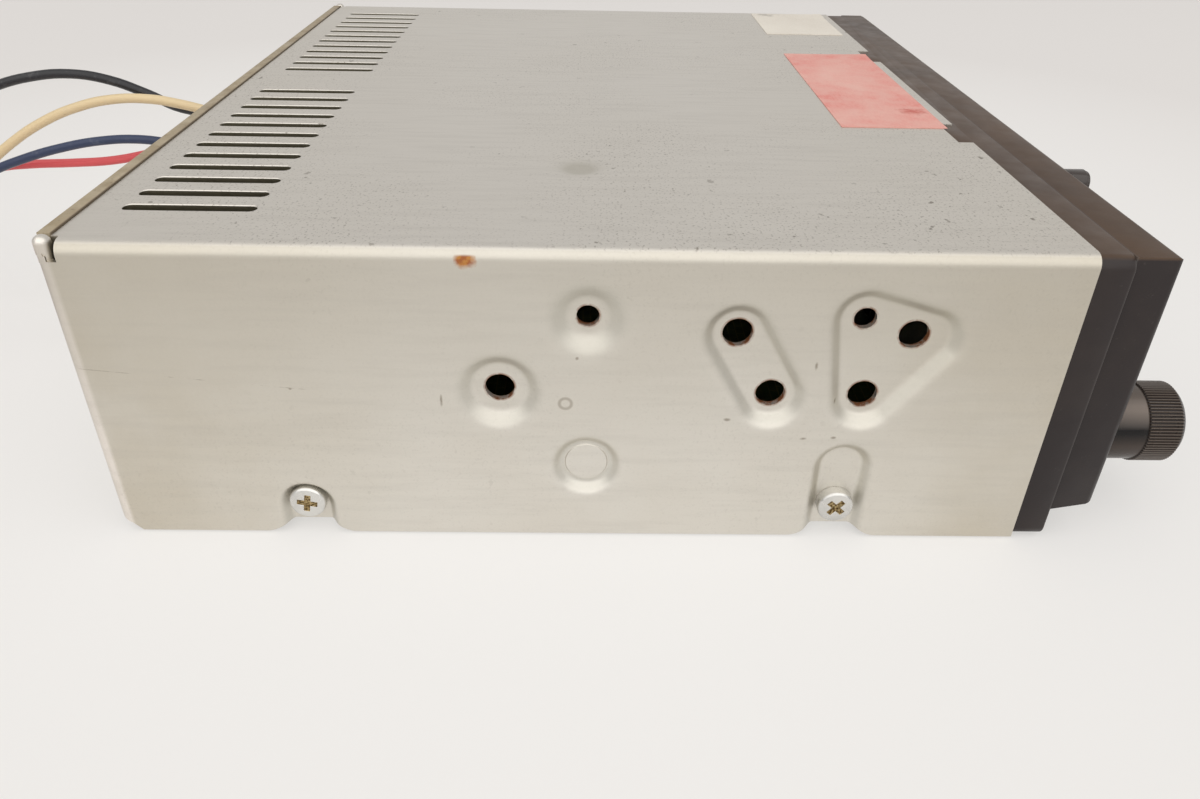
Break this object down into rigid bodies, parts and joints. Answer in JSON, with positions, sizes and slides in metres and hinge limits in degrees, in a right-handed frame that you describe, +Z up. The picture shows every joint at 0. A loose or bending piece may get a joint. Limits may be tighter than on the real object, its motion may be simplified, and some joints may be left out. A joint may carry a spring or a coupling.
{
  "type": "public address amplifier",
  "caption": "Flat sheet-metal public address amplifier with an embossed bent cover, vent slots, a black moulded front with turning knobs and a power button, and loose rear leads.",
  "frame": {"origin": "middle of the case's sheet-metal box, on the surface it stands on", "axes": "+X to the right seen from the front, +Y from the front to the rear, +Z up"},
  "size_m": [0.1784, 0.318, 0.0518],
  "materials": {
    "plated_steel": "dull zinc plate",
    "aged_panel": "worn",
    "black_moulding": "fine grain",
    "screw_steel": "bright plate",
    "red_paper": "faded",
    "white_paper": "matt",
    "knob_plastic": "satin",
    "shaft_metal": "turned",
    "pot_case": "plain",
    "nut_metal": "bright plate",
    "dark_plastic": "matt",
    "red_lens": "clear red",
    "board": "lacquered",
    "standoff_brass": "turned",
    "bracket_metal": "mill",
    "chip_plastic": "matt",
    "core_iron": "varnished",
    "winding_wrap": "wrapped",
    "blue_sleeve": "shrunk",
    "dark_sleeve": "shrunk",
    "grommet_rubber": "matt",
    "black_lead": "satin",
    "cream_lead": "satin",
    "blue_lead": "satin",
    "red_lead": "satin",
    "connector_sleeve": "satin",
    "tie_plastic": "matt"
  },
  "bodies": {
    "case": {"cover": "plated_steel", "chassis_tray": "plated_steel", "rear_panel": "aged_panel", "front_frame": "black_moulding", "front_panel": "black_moulding", "cover_screws": "screw_steel", "rear_screws": "screw_steel", "panel_screws": "screw_steel", "red_label": "red_paper", "white_label": "white_paper", "volume_pot": "pot_case", "volume_nut": "nut_metal", "tone_pot": "pot_case", "tone_nut": "nut_metal", "power_switch": "dark_plastic", "pilot_light": "red_lens", "pilot_holder": "dark_plastic", "microphone_jack": "dark_plastic", "jack_nut": "nut_metal", "circuit_board": "board", "board_standoffs": "standoff_brass", "board_screws": "screw_steel", "heat_bracket": "bracket_metal", "bracket_screws": "screw_steel", "power_chips": "chip_plastic", "chip_screws": "screw_steel", "transformer_core": "core_iron", "transformer_winding": "winding_wrap", "filter_capacitors": "blue_sleeve", "small_capacitors": "dark_sleeve", "speaker_grommet": "grommet_rubber", "power_grommet": "grommet_rubber", "black_lead": "black_lead", "cream_lead": "cream_lead", "blue_lead": "blue_lead", "red_lead": "red_lead", "black_coil": "black_lead", "cream_coil": "cream_lead", "blue_coil": "blue_lead", "red_coil": "red_lead", "black_connector": "connector_sleeve", "cream_connector": "connector_sleeve", "blue_connector": "connector_sleeve", "red_connector": "connector_sleeve", "lead_ties": "tie_plastic"},
    "volume_control": {"volume_knob": "knob_plastic", "volume_shaft": "shaft_metal"},
    "tone_control": {"tone_knob": "knob_plastic", "tone_shaft": "shaft_metal"},
    "power_key": {"power_button": "knob_plastic"}
  },
  "joints": [
    {"name": "volume_turn", "type": "hinge", "parent": "case", "child": "volume_control", "pos_m": [-0.0763, -0.0844, 0.0151], "axis": [0, -1, 0], "range_deg": [-150, 150]},
    {"name": "tone_turn", "type": "hinge", "parent": "case", "child": "tone_control", "pos_m": [-0.0483, -0.0844, 0.0151], "axis": [0, -1, 0], "range_deg": [-150, 150]},
    {"name": "power_press", "type": "slide", "parent": "case", "child": "power_key", "axis": [0, 1, 0], "range_m": [0, 0.003], "stiffness_N_per_m": 400, "springref_m": -0.001}
  ]
}
